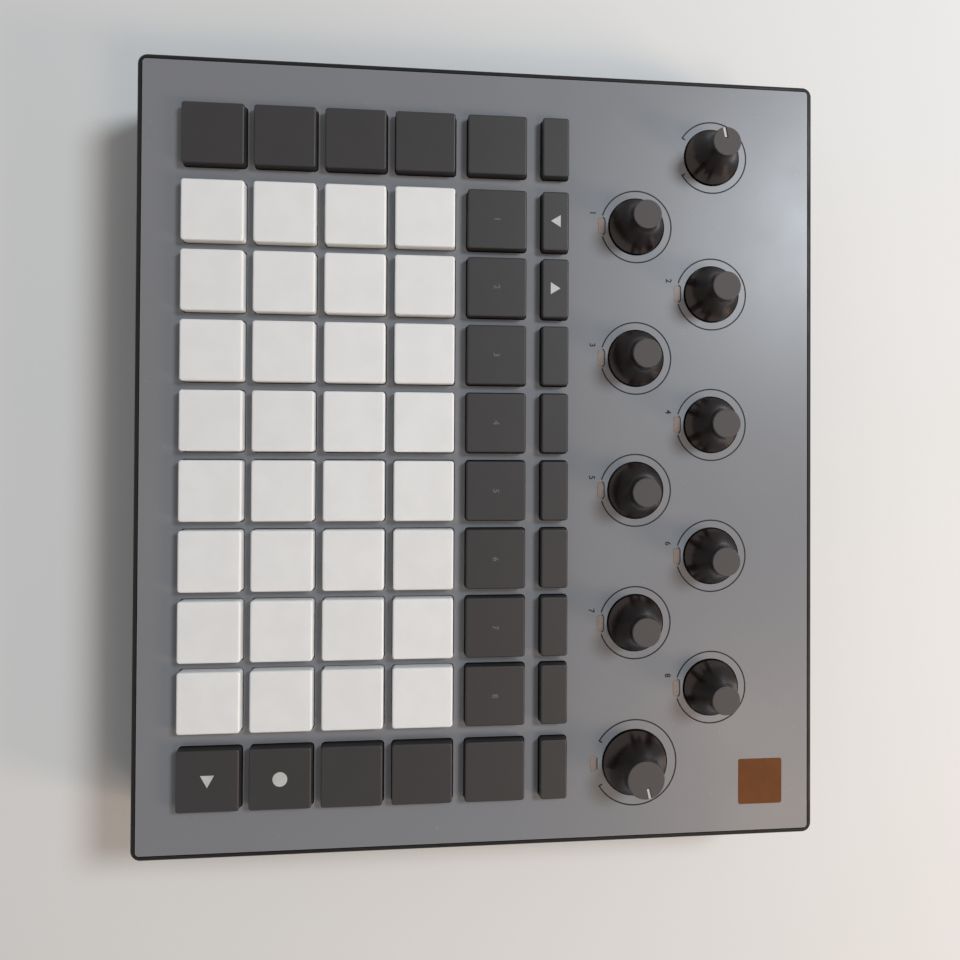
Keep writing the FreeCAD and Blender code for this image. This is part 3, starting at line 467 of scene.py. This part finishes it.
@dataclass(frozen=True)
class BoardLaminate(Finish):
    """Circuit board: lacquer over a faint weave and copper runs."""

    run_colour: Colour = (0.02, 0.10, 0.05)
    run_size: float = 9 * MM

    def base(self, tree: MaterialTree) -> Socket:
        """Paint the lacquer with paler runs.

        Args:
            tree: the material under way.

        Returns:
            The colour of the board.
        """
        runs = tree.nodes.new("ShaderNodeTexBrick")
        runs.inputs["Scale"].default_value = 1 / self.run_size
        tree.links.new(tree.place, runs.inputs["Vector"])
        return tree.blend(runs.outputs["Fac"], super().base(tree), self.run_colour)


@dataclass(frozen=True)
class FloorFinish(Finish):
    """Pale studio floor that fades into the backdrop away from the machine."""

    fade_start: float = 0.40
    fade_end: float = 0.95

    def finish(self, tree: MaterialTree) -> None:
        """Show the backdrop's colour on the far floor.

        Args:
            tree: the material under way.
        """
        reach = tree.nodes.new("ShaderNodeVectorMath")
        reach.operation = "LENGTH"
        tree.links.new(tree.place, reach.inputs[0])
        far = tree.spread(reach.outputs["Value"], (self.fade_start, self.fade_end), WHOLE)
        glow = tree.nodes.new("ShaderNodeEmission")
        glow.inputs["Color"].default_value = (*BACKDROP, 1.0)
        seen = seen_rays(tree.material.node_tree)
        mix = tree.nodes.new("ShaderNodeMixShader")
        tree.links.new(tree.product(far, seen), mix.inputs["Fac"])
        tree.links.new(tree.shader.outputs["BSDF"], mix.inputs[1])
        tree.links.new(glow.outputs["Emission"], mix.inputs[2])
        tree.links.new(mix.outputs["Shader"], tree.nodes["Material Output"].inputs["Surface"])


SHELL = Finish("black_shell", (0.0060, 0.0050, 0.0050), 0.50, grain_size=0.5 * MM,
               grain_depth=0.03 * MM, wear=0.18, worn=(0.05, 0.048, 0.048), specular=0.22,
               dust=0.04)
PANEL = PanelPaint("grey_panel_paint", (0.182, 0.186, 0.200), 0.37, drift=0.025,
                   drift_size=70 * MM, gloss_drift=0.02, grain_size=0.22 * MM,
                   grain_depth=0.006 * MM, wear=0.55, worn=(0.42, 0.42, 0.43),
                   edge=0.25 * MM, dust=0.12)
PAD = PadRubber("white_pad_rubber", (0.79, 0.79, 0.785), 0.55, drift=0.02, drift_size=9 * MM,
                grain_size=0.25 * MM, grain_depth=0.008 * MM, specular=0.35)
KEY = Finish("dark_key_rubber", (0.0140, 0.0118, 0.0122), 0.50, drift=0.07, drift_size=8 * MM,
             gloss_drift=0.015, grain_size=0.25 * MM, grain_depth=0.012 * MM, wear=0.30,
             worn=(0.09, 0.085, 0.085), edge=0.5 * MM, dust=0.10)
# The knob colour is the flanks darkened as painted shade; its top is painted a lighter grey as
# painted light.
KNOB = KnobRubber("knob_rubber", (0.0065, 0.0042, 0.004), 0.21, drift=0.15, drift_size=6 * MM,
                  grain_size=0.3 * MM, grain_depth=0.006 * MM, wear=0.15, worn=(0.10, 0.10, 0.10),
                  dust=0.06)
LENS = ClearLens("light_lens", (0.225, 0.160, 0.132), 0.35, grain_depth=0.004 * MM)
FOOT = Finish("foot_rubber", (0.020, 0.020, 0.021), 0.80, grain_size=0.6 * MM,
              grain_depth=0.05 * MM, dust=0.3, worn=(0.12, 0.12, 0.11))
STEEL = BrushedMetal("screw_steel", (0.30, 0.30, 0.31), 0.34, metallic=1.0, grain_size=0.2 * MM,
                     grain_depth=0.01 * MM)
PORT = BrushedMetal("port_metal", (0.46, 0.46, 0.47), 0.30, metallic=1.0, grain_size=0.2 * MM,
                    grain_depth=0.008 * MM)
SOCKET = Finish("socket_plastic", (0.020, 0.020, 0.021), 0.38, wear=0.3, worn=(0.10, 0.10, 0.10))
BUTTON = Finish("button_plastic", (0.022, 0.022, 0.023), 0.42, wear=0.4, worn=(0.14, 0.14, 0.14))
BOARD = BoardLaminate("board_laminate", (0.012, 0.060, 0.030), 0.32, drift=0.2, specular=0.6)
CELL = Finish("battery_wrap", (0.10, 0.16, 0.30), 0.36, drift=0.08, wear=0.3, worn=(0.4, 0.42, 0.5))
ENCODER = BrushedMetal("encoder_metal", (0.40, 0.39, 0.37), 0.36, metallic=1.0)
INK = Finish("dark_print", (0.008, 0.008, 0.011), 0.6, drift=0.25, drift_size=3 * MM,
             grain_size=0.15 * MM, grain_depth=0.006 * MM, specular=0.25)
WHITE_INK = Finish("white_print", (0.50, 0.50, 0.49), 0.55, drift=0.06, drift_size=2 * MM,
                   grain_size=0.15 * MM, grain_depth=0.006 * MM)
FAINT_INK = Finish("faint_key_print", (0.105, 0.102, 0.102), 0.6, drift=0.20, drift_size=1 * MM,
                   grain_size=0.15 * MM, grain_depth=0.006 * MM)
BADGE_INK = Finish("brown_badge_print", (0.135, 0.046, 0.012), 0.6, drift=0.05, drift_size=6 * MM,
                   grain_size=0.2 * MM, grain_depth=0.006 * MM, specular=0.15)
FLOOR = FloorFinish("pale_floor", (0.76, 0.755, 0.745), 0.75, drift=0.012, drift_size=0.25,
                    grain_size=0.8 * MM, grain_depth=0.02 * MM, specular=0.3)


def dress(node: str, finish: Finish) -> str:
    """Give a CAD node its finish.

    Args:
        node: the node's name.
        finish: the finish for all of it.

    Returns:
        A line for the log.
    """
    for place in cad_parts[node].material_slots:
        place.material = finish.material()
    return f"{node}: {finish.name}"


def middle(node: str) -> Vector:
    """Find the middle of a CAD node's box."""
    low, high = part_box(node)
    return (low + high) / 2


def top_of(node: str) -> float:
    """Find the highest level of a CAD node."""
    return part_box(node)[1].z


def column_of(number: int) -> float:
    """Find the X of a pad column, counted from 1 at the left."""
    return middle(f"pad_1_{number}").x


def arc(centre: Point, radius: float, start: float, end: float, step: float = 3.0) -> list[Point]:
    """List points along an arc.

    Args:
        centre: its centre.
        radius: its radius.
        start: its first angle, in degrees anticlockwise from the machine's right.
        end: its last angle.
        step: the angle between points, at most.

    Returns:
        The points, both ends included.
    """
    count = max(2, math.ceil(abs(end - start) / step))
    turns = [math.radians(start + (end - start) * i / count) for i in range(count + 1)]
    return [(centre[0] + radius * math.cos(t), centre[1] + radius * math.sin(t)) for t in turns]


def rounded_square(centre: Point, side: float, corner: float) -> list[Point]:
    """List the outline of a square with rounded corners.

    Args:
        centre: its centre.
        side: the length of a side.
        corner: the radius of its corners.

    Returns:
        The points, anticlockwise.
    """
    reach = side / 2 - corner
    outline = []
    for quarter in range(4):
        start = QUARTER_TURN * quarter
        turn = math.radians(start + QUARTER_TURN / 2)
        middle_x = centre[0] + math.copysign(reach, math.cos(turn))
        middle_y = centre[1] + math.copysign(reach, math.sin(turn))
        outline += arc((middle_x, middle_y), corner, start, start + QUARTER_TURN, 15.0)
    return outline


def triangle(centre: Point, base: float, height: float, facing: Facing) -> list[Point]:
    """List the corners of a triangle symbol.

    Args:
        centre: the middle of its height.
        base: the length of its base.
        height: from base to apex.
        facing: the way that its apex points.

    Returns:
        Its three corners, anticlockwise.
    """
    turn = math.radians(facing.value)
    corners = [(-height / 2, -base / 2), (height / 2, 0.0), (-height / 2, base / 2)]
    return [(centre[0] + x * math.cos(turn) - y * math.sin(turn),
             centre[1] + x * math.sin(turn) + y * math.cos(turn)) for x, y in corners]


class PrintSheet:
    """Ink on a level face: thin closed forms gathered into one mesh."""

    lift: float = 0.03 * MM
    sink: float = 0.03 * MM
    stroke_growth: float = 0.018
    smoothness: int = 6

    def __init__(self, name: str, level: float) -> None:
        """Start a sheet.

        Args:
            name: the piece's name.
            level: the height of the face that carries it.
        """
        self.name = name
        self.level = level
        self.mesh = bmesh.new()

    def pair(self, point: Point) -> tuple[bmesh.types.BMVert, bmesh.types.BMVert]:
        """Add a lower and an upper vertex at a point."""
        low = self.mesh.verts.new((*point, self.level - self.sink))
        return low, self.mesh.verts.new((*point, self.level + self.lift))

    def patch(self, outline: list[Point]) -> None:
        """Add a filled form inside an anticlockwise outline.

        Args:
            outline: its points.
        """
        pairs = [self.pair(point) for point in outline]
        self.mesh.faces.new([high for _, high in pairs])
        self.mesh.faces.new([low for low, _ in reversed(pairs)])
        for (low, high), (next_low, next_high) in zip(pairs, pairs[1:] + pairs[:1]):
            self.mesh.faces.new((low, next_low, next_high, high))

    def ribbon(self, path: list[Point], width: float) -> None:
        """Add a line of even width.

        Args:
            path: the points along its middle.
            width: its width.
        """
        left, right = [], []
        for i, (x, y) in enumerate(path):
            before, after = path[max(i - 1, 0)], path[min(i + 1, len(path) - 1)]
            way = Vector((after[0] - before[0], after[1] - before[1])).normalized() * width / 2
            left.append(self.pair((x - way.y, y + way.x)))
            right.append(self.pair((x + way.y, y - way.x)))
        for i in range(len(path) - 1):
            (a, a_top), (b, b_top) = right[i], right[i + 1]
            (d, d_top), (c, c_top) = left[i], left[i + 1]
            self.mesh.faces.new((a_top, b_top, c_top, d_top))
            self.mesh.faces.new((d, c, b, a))
            self.mesh.faces.new((a, b, b_top, a_top))
            self.mesh.faces.new((c, d, d_top, c_top))
        for (a, a_top), (b, b_top) in ((left[0], right[0]), (right[-1], left[-1])):
            self.mesh.faces.new((a, b, b_top, a_top))

    def glyph(self, text: str, centre: Point, height: float) -> None:
        """Add a number, read from the machine's front.

        Args:
            text: its digits.
            centre: where its middle goes.
            height: the height of a digit.
        """
        curve = bpy.data.curves.new(f"{self.name}_digit", "FONT")
        curve.body = text
        curve.align_x = "CENTER"
        curve.extrude = (self.lift + self.sink) / 2
        curve.offset = self.stroke_growth
        curve.resolution_u = self.smoothness
        writer = bpy.data.objects.new(f"{self.name}_digit", curve)
        bpy.context.scene.collection.objects.link(writer)
        bpy.context.view_layer.update()
        solved = writer.evaluated_get(bpy.context.evaluated_depsgraph_get())
        digit = bpy.data.meshes.new_from_object(solved)
        levels = [vertex.co.y for vertex in digit.vertices]
        size = height / (max(levels) - min(levels))
        middle_y = (max(levels) + min(levels)) / 2
        digit.transform(Matrix.Translation((centre[0], centre[1], self.level))
                        @ Matrix.Diagonal((size, size, 1.0, 1.0))
                        @ Matrix.Translation((0.0, -middle_y, 0.0)))
        self.mesh.from_mesh(digit)
        bpy.data.objects.remove(writer)
        bpy.data.meshes.remove(digit)

    def piece(self, body: str, finish: Finish) -> str:
        """Turn the sheet into a piece.

        Args:
            body: the CAD body that it rides on.
            finish: its finish.

        Returns:
            A line for the log.
        """
        bmesh.ops.recalc_face_normals(self.mesh, faces=self.mesh.faces)
        data = bpy.data.meshes.new(self.name)
        self.mesh.to_mesh(data)
        self.mesh.free()
        data.materials.append(finish.material())
        item = bpy.data.objects.new(self.name, data)
        bpy.context.scene.collection.objects.link(item)
        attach(item, body)
        return f"{self.name}: {len(data.vertices)} vertices, rides on {body}"


class Assembly:
    """A group of pieces that is dressed together."""

    def build(self) -> list[str]:
        """Dress the group's nodes and add its pieces.

        Returns:
            A line for the log for each of them.
        """
        raise NotImplementedError


@dataclass
class CaseShell(Assembly):
    """Top and bottom shell with feet and screws."""

    def build(self) -> list[str]:
        """Dress the shells, feet and screws."""
        finishes = {"top_case": SHELL, "bottom_case": SHELL, "rubber_feet": FOOT, "screws": STEEL}
        return [dress(node, finish) for node, finish in finishes.items()]


@dataclass
class PanelPlate(Assembly):
    """The grey plate with its printed rings, numbers and badge."""

    ring_radius: float = 11.3 * MM
    filter_ring_radius: float = 13.3 * MM
    line: float = 0.42 * MM
    ring_gap: float = 17.0
    open_reach: float = 148.0
    tick: float = 1.1 * MM
    window_length: float = 4.9 * MM
    window_width: float = 1.7 * MM
    window_rim: float = 0.45 * MM
    window_wrap: float = 65.0
    window_bow: float = 10.0
    window_line: float = 0.8
    digit_height: float = 1.9 * MM
    digit_left: float = 4.0 * MM
    digit_front: float = 2.6 * MM
    badge_centre: Point = (103.0 * MM, 87.8 * MM)
    badge_side: float = 14.3 * MM
    badge_corner: float = 0.7 * MM

    def open_ring(self, sheet: PrintSheet, knob: str, radius: float) -> None:
        """Print a ring that is open at the front, with a tick inwards at each end.

        Args:
            sheet: the sheet to print on.
            knob: the knob in the ring's middle.
            radius: the ring's radius.
        """
        centre = middle(knob).xy
        ends = (QUARTER_TURN - self.open_reach, QUARTER_TURN + self.open_reach)
        sheet.ribbon(arc(centre, radius, *ends), self.line)
        for end in ends:
            way = Vector((math.cos(math.radians(end)), math.sin(math.radians(end))))
            outer = centre + way * (radius + self.line / 2)
            inner = centre + way * (radius - self.tick)
            sheet.ribbon([tuple(outer), tuple(inner)], self.line)

    def window_edge(self, sheet: PrintSheet, centre: Point, whole: bool) -> None:
        """Print the line along the rear of a light window.

        Args:
            sheet: the sheet to print on.
            centre: the window's middle.
            whole: whether the line goes on round the window's ends.
        """
        round_radius = self.window_width / 2 + self.window_rim
        reach = self.window_length / 2 - self.window_width / 2
        side = self.window_wrap if whole else self.window_bow
        rear = QUARTER_TURN
        right = arc((centre[0] + reach, centre[1]), round_radius, rear - side, rear, 8.0)
        left = arc((centre[0] - reach, centre[1]), round_radius, rear, rear + side, 8.0)
        sheet.ribbon(right + left, self.window_line * self.line)

    def rings(self) -> str:
        """Print the rings round the knobs and the lines at the light windows.

        Returns:
            A line for the log.
        """
        sheet = PrintSheet("panel_rings", top_of("faceplate"))
        self.open_ring(sheet, "volume_knob", self.ring_radius)
        self.open_ring(sheet, "filter_knob", self.filter_ring_radius)
        for number in range(1, ENCODERS + 1):
            centre = middle(f"encoder_knob_{number}").xy
            start, end = self.ring_gap - QUARTER_TURN, 3 * QUARTER_TURN - self.ring_gap
            sheet.ribbon(arc(centre, self.ring_radius, start, end), self.line)
            self.window_edge(sheet, (centre.x, centre.y - self.ring_radius), True)
        centre = middle("filter_knob").xy
        self.window_edge(sheet, (centre.x, centre.y - self.filter_ring_radius), False)
        return sheet.piece("case", INK)

    def numbers(self) -> str:
        """Print each encoder's number in front of its light window.

        Returns:
            A line for the log.
        """
        sheet = PrintSheet("panel_numbers", top_of("faceplate"))
        for number in range(1, ENCODERS + 1):
            centre = middle(f"encoder_knob_{number}")
            front = centre.y - self.ring_radius - self.digit_front
            sheet.glyph(str(number), (centre.x - self.digit_left, front), self.digit_height)
        return sheet.piece("case", INK)

    def badge(self) -> str:
        """Print the plain brown square at the rear right.

        Returns:
            A line for the log.
        """
        sheet = PrintSheet("panel_badge", top_of("faceplate"))
        sheet.patch(rounded_square(self.badge_centre, self.badge_side, self.badge_corner))
        return sheet.piece("case", BADGE_INK)

    def build(self) -> list[str]:
        """Dress the plate and windows, and print on the plate."""
        plates = [dress("faceplate", PANEL), dress("light_windows", LENS)]
        return plates + [self.rings(), self.numbers(), self.badge()]


@dataclass
class PadField(Assembly):
    """The 32 white pads."""

    def build(self) -> list[str]:
        """Dress every pad.

        Returns:
            A line for the log for each pad.
        """
        return [
            dress(f"pad_{row}_{column}", PAD)
            for row in range(1, PAD_ROWS + 1)
            for column in range(1, COLUMNS + 1)
        ]


@dataclass
class KeyRows(Assembly):
    """The dark keys round the pads and their symbols."""

    symbol_base: float = 4.0 * MM
    symbol_height: float = 3.6 * MM
    arrow_base: float = 3.7 * MM
    arrow_height: float = 3.0 * MM
    dot_radius: float = 2.15 * MM
    dot_step: float = 12.0
    digit_height: float = 1.9 * MM

    def symbol(self, node: str, outline: list[Point]) -> str:
        """Print one symbol on a key's top.

        Args:
            node: the key's node and body.
            outline: the symbol's points.

        Returns:
            A line for the log.
        """
        sheet = PrintSheet(f"{node}_symbol", top_of(node))
        sheet.patch(outline)
        return sheet.piece(node, WHITE_INK)

    def transport(self) -> list[str]:
        """Print the play triangle and the record dot.

        Returns:
            A line for the log for each of them.
        """
        play, record = middle("play_key").xy, middle("record_key").xy
        sign = triangle(play, self.symbol_base, self.symbol_height, Facing.RIGHT)
        dot = arc(record, self.dot_radius, 0.0, 360.0 - self.dot_step, self.dot_step)
        return [self.symbol("play_key", sign), self.symbol("record_key", dot)]

    def arrows(self) -> str:
        """Print the two step arrows on the second and third narrow keys.

        Returns:
            A line for the log.
        """
        sheet = PrintSheet("function_arrows", top_of("function_keys"))
        row = middle("function_keys").y
        for column, facing in ((1, Facing.FRONT), (2, Facing.REAR)):
            place = (column_of(column), row)
            sheet.patch(triangle(place, self.arrow_base, self.arrow_height, facing))
        return sheet.piece("function_keys", WHITE_INK)

    def track_numbers(self) -> str:
        """Print a faint number on each key above a pad column.

        Returns:
            A line for the log.
        """
        sheet = PrintSheet("track_numbers", top_of("track_keys"))
        row = middle("track_keys").y
        for column in range(1, COLUMNS + 1):
            sheet.glyph(str(column), (column_of(column), row), self.digit_height)
        return sheet.piece("track_keys", FAINT_INK)

    def build(self) -> list[str]:
        """Dress the keys and print on them.

        Returns:
            A line for the log for each node and print.
        """
        nodes = ("play_key", "record_key", "side_keys", "track_keys", "function_keys")
        lines = [dress(node, KEY) for node in nodes]
        return lines + self.transport() + [self.arrows(), self.track_numbers()]


@dataclass
class KnobSet(Assembly):
    """The ten knobs and the white lines in the two that have a stop."""

    volume_turn: float = 102.0
    filter_turn: float = -77.0
    cap_radius: float = 4.4 * MM
    filter_cap_radius: float = 5.7 * MM
    groove_depth: float = 0.6 * MM
    line_length: float = 2.9 * MM
    line_width: float = 0.75 * MM
    line_rise: float = 0.28 * MM
    line_inset: float = 0.15 * MM

    def pointer(self, knob: str, turn: float, cap: float) -> str:
        """Lay the white line in a knob's groove.

        Args:
            knob: the knob's node and body.
            turn: the groove's angle to the left of the rear, in degrees.
            cap: the radius of the knob's cap.

        Returns:
            A line for the log.
        """
        floor = top_of(knob) - self.groove_depth + self.line_rise
        sheet = PrintSheet(f"{knob}_pointer", floor)
        centre = middle(knob).xy
        way = Vector((-math.sin(math.radians(turn)), math.cos(math.radians(turn))))
        outer = centre + way * (cap - self.line_inset)
        inner = outer - way * self.line_length
        sheet.sink = self.line_rise + sheet.lift
        sheet.ribbon([tuple(inner), tuple(outer)], self.line_width)
        return sheet.piece(knob, WHITE_INK)

    def build(self) -> list[str]:
        """Dress the knobs and lay their lines.

        Returns:
            A line for the log for each knob and line.
        """
        encoders = [f"encoder_knob_{number}" for number in range(1, ENCODERS + 1)]
        lines = [dress(node, KNOB) for node in ("volume_knob", "filter_knob", *encoders)]
        lines.append(self.pointer("volume_knob", self.volume_turn, self.cap_radius))
        lines.append(self.pointer("filter_knob", self.filter_turn, self.filter_cap_radius))
        return lines


@dataclass
class RearPanel(Assembly):
    """Sockets and button in the rear wall."""

    def build(self) -> list[str]:
        """Dress the sockets and the button."""
        finishes = {"jack_sockets": SOCKET, "data_sockets": PORT, "power_button": BUTTON}
        return [dress(node, finish) for node, finish in finishes.items()]


@dataclass
class InnerWorks(Assembly):
    """Boards, encoders and battery inside the case."""

    def build(self) -> list[str]:
        """Dress what the case holds.

        Returns:
            A line for the log for each node.
        """
        finishes = {
            "key_board": BOARD,
            "main_board": BOARD,
            "battery_pack": CELL,
            "encoder_bodies": ENCODER,
        }
        return [dress(node, finish) for node, finish in finishes.items()]


@dataclass
class Studio:
    """Floor, lights and backdrop round the machine."""

    reach: float = 4.0
    floor_cells: int = 8
    floor_gap: float = 0.02 * MM
    lamp_distance: float = 1.2
    lamp_side: float = 0.32
    cool_power: float = 8.8
    warm_power: float = 2.3
    glint_power: float = 4.4
    cool_place: Point = (30.0, 50.0)
    warm_place: Point = (-45.0, 50.0)
    glint_place: Point = (-24.0, 27.0)
    cool: Colour = (0.86, 0.935, 1.0)
    warm: Colour = (1.0, 0.76, 0.58)
    room: Colour = (0.97, 0.985, 1.0)
    ambient: float = 0.25

    def floor(self) -> None:
        """Lay the pale floor under the feet."""
        mesh = bmesh.new()
        cells = self.floor_cells
        bmesh.ops.create_grid(mesh, x_segments=cells, y_segments=cells, size=self.reach)
        data = bpy.data.meshes.new("studio_floor")
        mesh.to_mesh(data)
        mesh.free()
        data.materials.append(FLOOR.material())
        ground = bpy.data.objects.new("studio_floor", data)
        ground.location.z = CAD_BOX[0][2] - self.floor_gap
        bpy.context.scene.collection.objects.link(ground)

    def lamp(self, name: str, place: Point, colour: Colour, power: float) -> None:
        """Hang one soft lamp behind the machine.

        Args:
            name: the lamp's name.
            place: its angles to the left of the rear and above the floor, in degrees.
            colour: its light.
            power: its power, in watts.
        """
        light = bpy.data.lights.new(name, "AREA")
        light.shape = "DISK"
        light.size = self.lamp_side
        light.energy = power
        light.color = colour
        side, level = math.radians(place[0]), math.radians(place[1])
        flat = math.cos(level)
        way = Vector((-math.sin(side) * flat, math.cos(side) * flat, math.sin(level)))
        holder = bpy.data.objects.new(name, light)
        holder.location = way * self.lamp_distance
        holder.rotation_euler = way.to_track_quat("Z", "Y").to_euler()
        bpy.context.scene.collection.objects.link(holder)

    def world(self) -> None:
        """Set a soft pale room, with a backdrop for what is seen past the floor."""
        world = bpy.data.worlds.new("studio_room")
        world.use_nodes = True
        bpy.context.scene.world = world
        nodes, links = world.node_tree.nodes, world.node_tree.links
        room = nodes["Background"]
        room.inputs["Color"].default_value = (*self.room, 1.0)
        room.inputs["Strength"].default_value = self.ambient
        seen = nodes.new("ShaderNodeBackground")
        seen.inputs["Color"].default_value = (*BACKDROP, 1.0)
        mix = nodes.new("ShaderNodeMixShader")
        links.new(seen_rays(world.node_tree), mix.inputs["Fac"])
        links.new(room.outputs["Background"], mix.inputs[1])
        links.new(seen.outputs["Background"], mix.inputs[2])
        links.new(mix.outputs["Shader"], nodes["World Output"].inputs["Surface"])

    def build(self) -> None:
        """Set up the room."""
        self.floor()
        self.lamp("cool_lamp", self.cool_place, self.cool, self.cool_power)
        self.lamp("warm_lamp", self.warm_place, self.warm, self.warm_power)
        self.lamp("glint_lamp", self.glint_place, self.warm, self.glint_power)
        self.world()
        bpy.context.scene.view_settings.view_transform = "Standard"


@dataclass(frozen=True)
class CameraView:
    """The photograph's camera: above the panel, with the machine's left side upwards."""

    place: tuple[float, float, float] = (-0.002136, -0.015567, 0.251828)
    aim: tuple[float, float, float] = (-0.00422, 0.00401, 0.0324)
    upward: tuple[float, float, float] = (-0.99999, -0.00484, 0.0)
    lens: float = 26.66
    sensor: float = 36.0
    shift: Point = (-0.0205, -0.0384)
    nearest: float = 0.01

    def build(self) -> None:
        """Create the camera and make it the scene's own."""
        back = (Vector(self.place) - Vector(self.aim)).normalized()
        right = Vector(self.upward).cross(back).normalized()
        turn = Matrix((right, back.cross(right), back)).transposed()
        data = bpy.data.cameras.new("photo_camera")
        data.lens = self.lens
        data.sensor_width = self.sensor
        data.shift_x, data.shift_y = self.shift
        data.clip_start = self.nearest
        camera = bpy.data.objects.new("photo_camera", data)
        camera.matrix_world = Matrix.Translation(self.place) @ turn.to_4x4()
        bpy.context.scene.collection.objects.link(camera)
        bpy.context.scene.camera = camera


def main() -> None:
    """Dress the machine from the shell to its inside, and set up the room and the camera."""
    logging.basicConfig(level=logging.INFO, format="%(name)s %(message)s")
    kinds = (CaseShell, PanelPlate, PadField, KeyRows, KnobSet, RearPanel, InnerWorks)
    for assembly in (kind() for kind in kinds):
        for line in assembly.build():
            LOG.info("%s: %s", type(assembly).__name__, line)
    Studio().build()
    CameraView().build()


if __name__ == "__main__":
    main()
